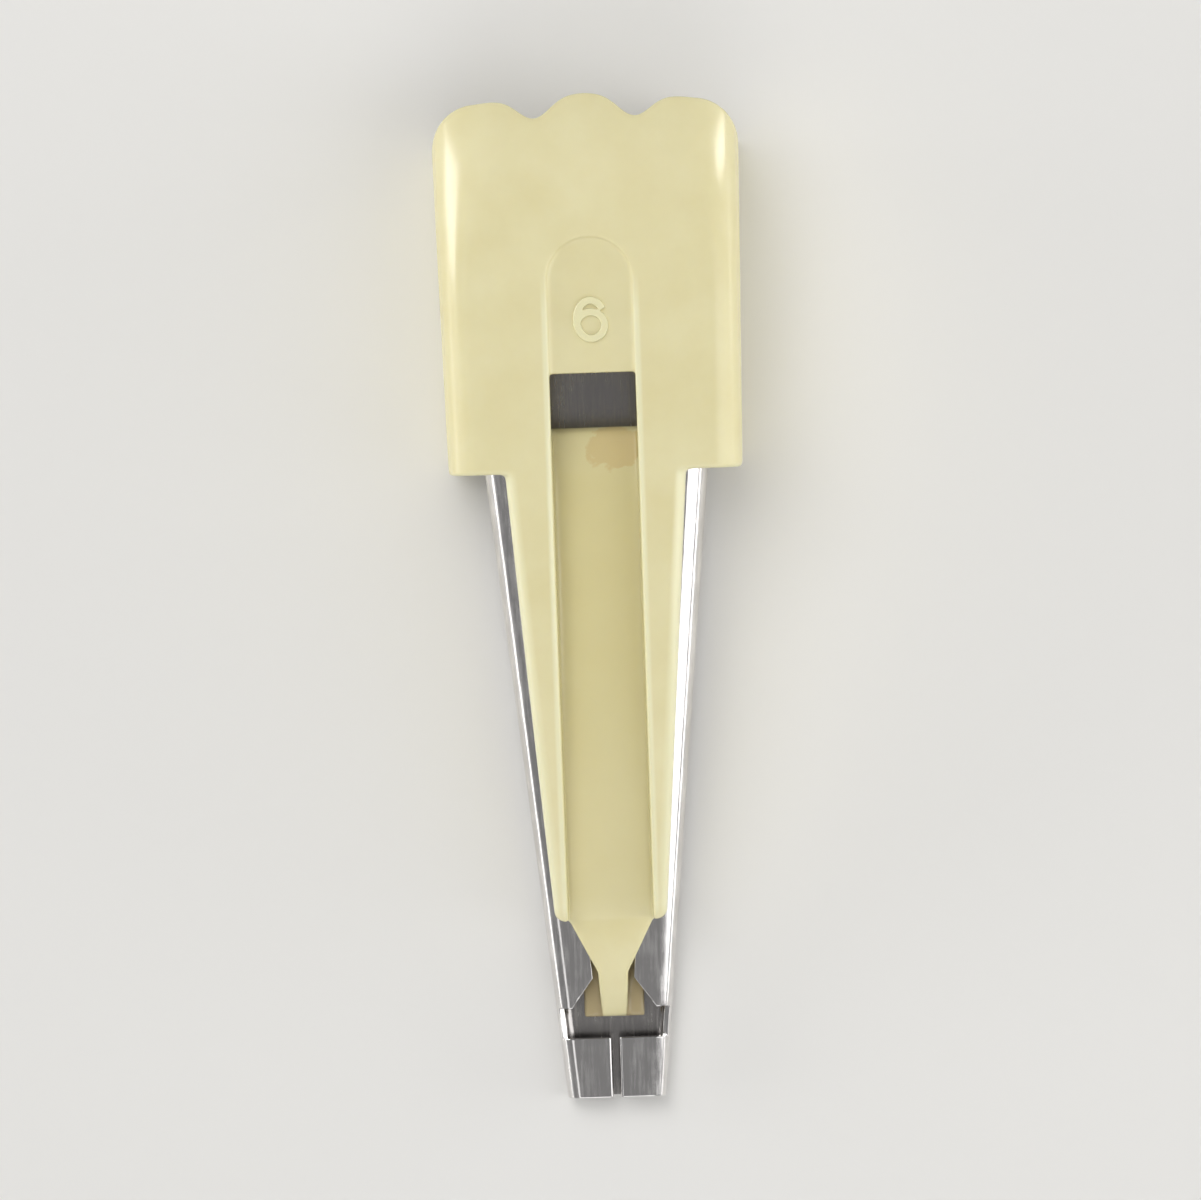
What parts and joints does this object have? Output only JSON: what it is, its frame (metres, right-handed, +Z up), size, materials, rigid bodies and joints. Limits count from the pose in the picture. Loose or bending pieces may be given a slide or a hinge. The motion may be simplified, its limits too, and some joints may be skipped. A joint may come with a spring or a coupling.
{
  "type": "bias tape maker",
  "caption": "Hand tool that folds a cloth strip into bias tape: a tapered plated sheet-metal channel clipped under a moulded hood with railed web groove, feed window and tongue.",
  "frame": {"origin": "on the table under the middle of the tool: middle of its length and width, at the level of the skirts' feet and the tip's underside", "axes": "+Z up from the table, +Y from the tip mouth to the rear crest, +X to the right when looking from the tip to the rear"},
  "size_m": [0.019, 0.063, 0.0106],
  "materials": {
    "plated_steel": "bright plated",
    "cream_plastic": "semi-gloss moulded"
  },
  "bodies": {
    "root": {"folding_channel": "plated_steel", "handle_body": "cream_plastic"}
  },
  "joints": []
}
